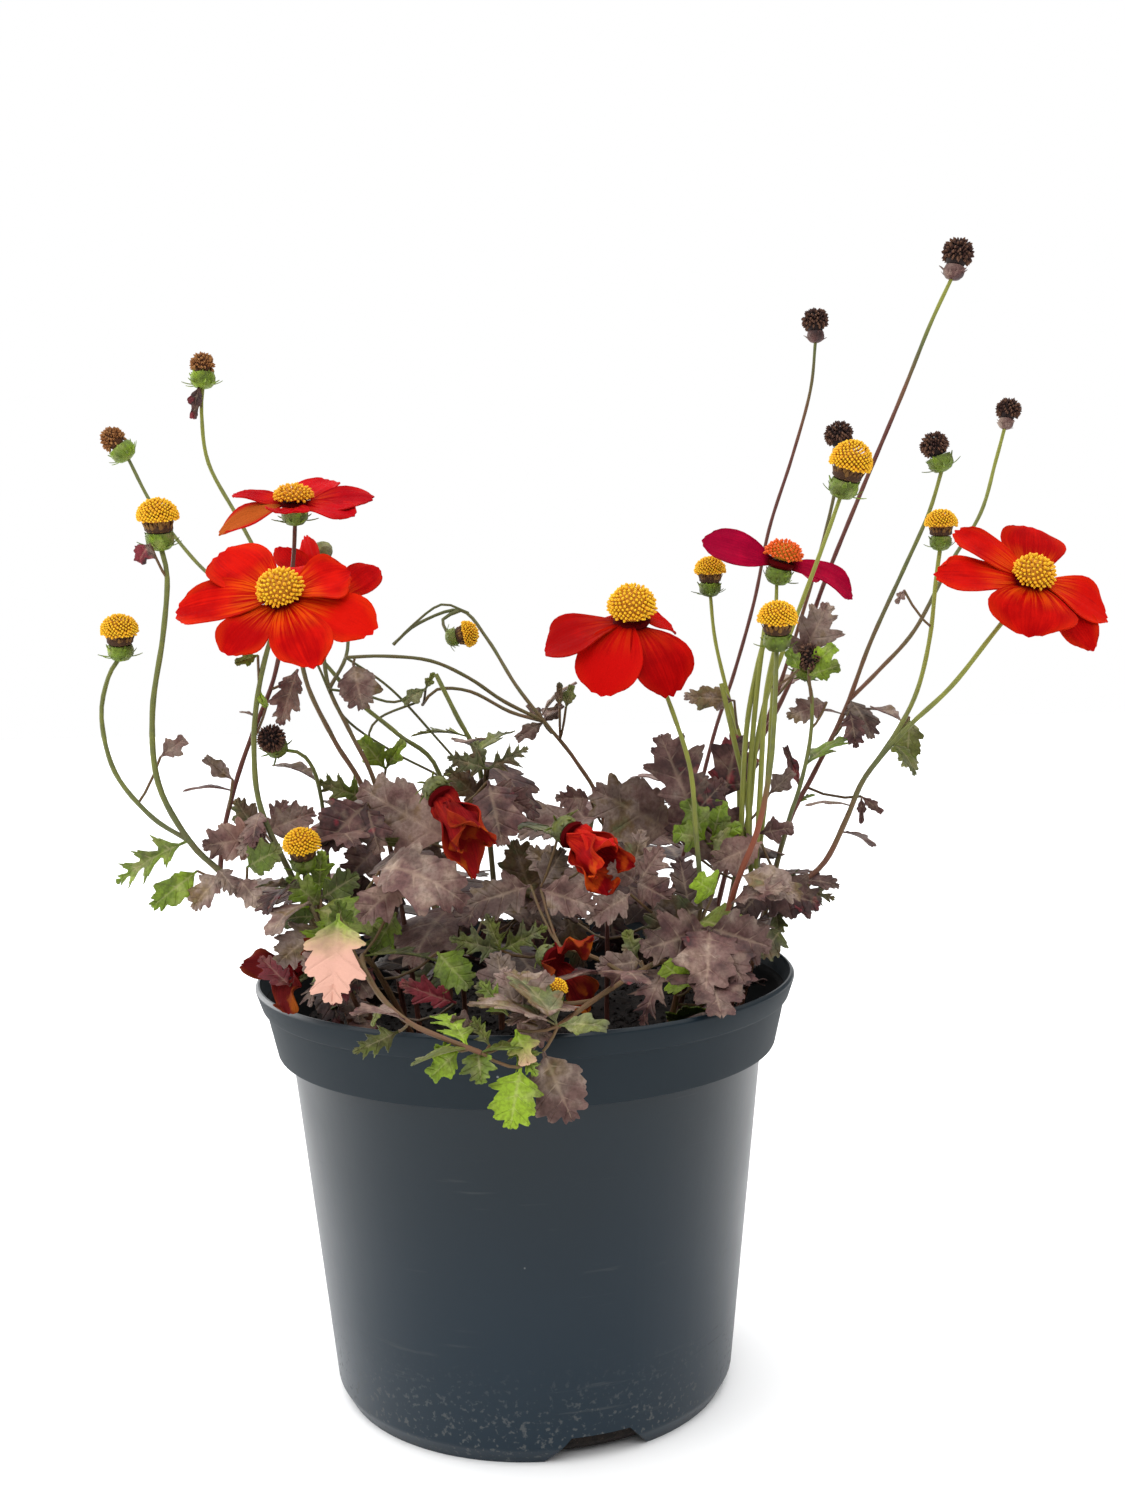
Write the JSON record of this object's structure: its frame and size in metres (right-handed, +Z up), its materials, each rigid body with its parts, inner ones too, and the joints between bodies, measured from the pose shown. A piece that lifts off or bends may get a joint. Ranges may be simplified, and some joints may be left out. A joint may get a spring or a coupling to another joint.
{
  "type": "potted bidens",
  "caption": "Straggling bidens in bloom in a tapered nursery pot with soil: thin branching stems, cut leaves, red blooms with yellow discs, dark seed heads.",
  "frame": {"origin": "centre of the pot's foot, on the surface it stands on", "axes": "+Z up along the pot's axis, -Y towards the side seen in the picture, +X to that view's right"},
  "size_m": [0.3188, 0.1965, 0.3658],
  "materials": {
    "pot": "moulded, semi-gloss, dusty towards the foot",
    "soil": "crumbly peat, stands in for soil",
    "foliage": "soft matt leaf and stem",
    "petal_red": "satin petal, scarlet with orange",
    "petal_magenta": "satin petal, crimson",
    "petal_dry": "withered petal",
    "floret_yellow": "grainy with florets",
    "seed_brown": "dry dark seeds"
  },
  "bodies": {
    "root": {"pot": "pot", "soil": "soil", "stem_left_fork": "foliage", "stem_left_front": "foliage", "stem_left_tall": "foliage", "stem_left_back": "foliage", "stem_left_outer": "foliage", "stem_left_dark": "foliage", "stem_left_low": "foliage", "stem_wiry": "foliage", "stem_middle": "foliage", "stem_centre": "foliage", "stem_right_front": "foliage", "stem_right_high": "foliage", "stem_right_inner": "foliage", "stem_magenta": "foliage", "stem_right_tallest": "foliage", "stem_right_behind": "foliage", "stem_back_tall": "foliage", "stem_right_pair": "foliage", "stem_right_bloom": "foliage", "stem_right_low": "foliage", "runner_left": "foliage", "runner_right": "foliage", "shoot_back_left": "foliage", "shoot_back_right": "foliage", "petals_left_front": "petal_red", "disc_left_front": "floret_yellow", "petals_left_high": "petal_red", "disc_left_high": "floret_yellow", "petals_left_back": "petal_red", "disc_left_back": "floret_yellow", "petals_centre": "petal_red", "disc_centre": "floret_yellow", "petals_magenta": "petal_magenta", "disc_magenta": "floret_yellow", "petals_right": "petal_red", "disc_right": "floret_yellow", "head_left_upper": "floret_yellow", "head_left_outer": "floret_yellow", "head_left_low": "floret_yellow", "head_right_high": "floret_yellow", "head_right_front": "floret_yellow", "head_right_outer": "floret_yellow", "head_lying": "floret_yellow", "head_right_inner": "floret_yellow", "head_rim_bud": "floret_yellow", "seed_left_tall": "seed_brown", "seed_left_far": "seed_brown", "seed_left_dark": "seed_brown", "seed_back_tall": "seed_brown", "seed_right_tallest": "seed_brown", "seed_right_behind": "seed_brown", "seed_right_middle": "seed_brown", "seed_right_far": "seed_brown", "seed_right_low": "seed_brown", "withered_left": "petal_dry", "withered_centre": "petal_dry", "withered_front": "petal_dry", "withered_rim": "petal_dry"}
  },
  "joints": []
}
